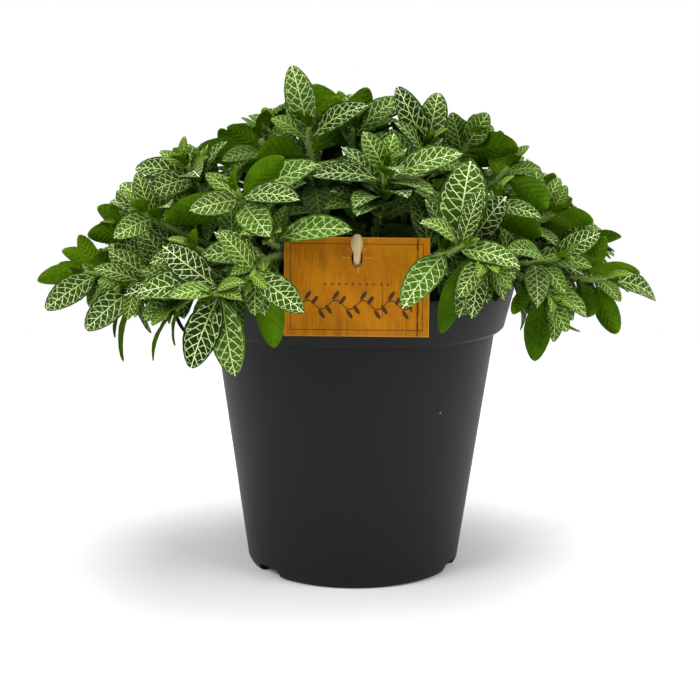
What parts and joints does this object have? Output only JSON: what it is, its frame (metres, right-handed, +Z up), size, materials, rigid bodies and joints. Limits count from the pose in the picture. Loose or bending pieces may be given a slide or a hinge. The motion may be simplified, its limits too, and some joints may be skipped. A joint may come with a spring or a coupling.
{
  "type": "potted nerve plant",
  "caption": "Low, creeping house plant with opposite dark green leaves and a pale net of veins, in a tapered nursery pot with soil, and a wood card pegged at the front rim.",
  "frame": {"origin": "on the ground under the middle of the part's width and depth, which is within 2 mm of the pot's axis", "axes": "+Z up, +X to the viewer's right along the foliage's widest spread, -Y towards the viewer, where the card is"},
  "size_m": [0.3225, 0.2615, 0.271],
  "materials": {
    "pot": "dark grey moulded plastic, satin",
    "soil": null,
    "card": "thin stained wood with a printed face",
    "peg": "plain bamboo",
    "leafy_stem": "living leaves and stems, satin; leather stands for their density"
  },
  "bodies": {
    "root": {"pot": "pot", "soil": "soil", "card": "card", "peg": "peg", "shoot_01": "leafy_stem", "shoot_02": "leafy_stem", "shoot_03": "leafy_stem", "shoot_04": "leafy_stem", "shoot_05": "leafy_stem", "shoot_06": "leafy_stem", "shoot_07": "leafy_stem", "shoot_08": "leafy_stem", "shoot_09": "leafy_stem", "shoot_10": "leafy_stem", "shoot_11": "leafy_stem", "shoot_12": "leafy_stem", "shoot_13": "leafy_stem", "shoot_14": "leafy_stem", "shoot_15": "leafy_stem", "shoot_16": "leafy_stem", "shoot_17": "leafy_stem", "shoot_18": "leafy_stem", "shoot_19": "leafy_stem", "shoot_20": "leafy_stem", "shoot_21": "leafy_stem", "shoot_22": "leafy_stem", "shoot_23": "leafy_stem", "shoot_24": "leafy_stem", "shoot_25": "leafy_stem", "shoot_26": "leafy_stem", "shoot_27": "leafy_stem", "shoot_28": "leafy_stem", "shoot_29": "leafy_stem", "shoot_30": "leafy_stem", "shoot_31": "leafy_stem", "shoot_32": "leafy_stem", "shoot_33": "leafy_stem", "shoot_34": "leafy_stem", "shoot_35": "leafy_stem", "shoot_36": "leafy_stem", "shoot_37": "leafy_stem", "shoot_38": "leafy_stem", "shoot_39": "leafy_stem", "shoot_40": "leafy_stem", "shoot_41": "leafy_stem", "shoot_42": "leafy_stem", "shoot_43": "leafy_stem", "shoot_44": "leafy_stem", "shoot_45": "leafy_stem", "shoot_46": "leafy_stem", "shoot_47": "leafy_stem", "shoot_48": "leafy_stem", "shoot_49": "leafy_stem", "shoot_50": "leafy_stem", "shoot_51": "leafy_stem", "shoot_52": "leafy_stem", "shoot_53": "leafy_stem", "shoot_54": "leafy_stem", "shoot_55": "leafy_stem", "shoot_56": "leafy_stem"}
  },
  "joints": []
}
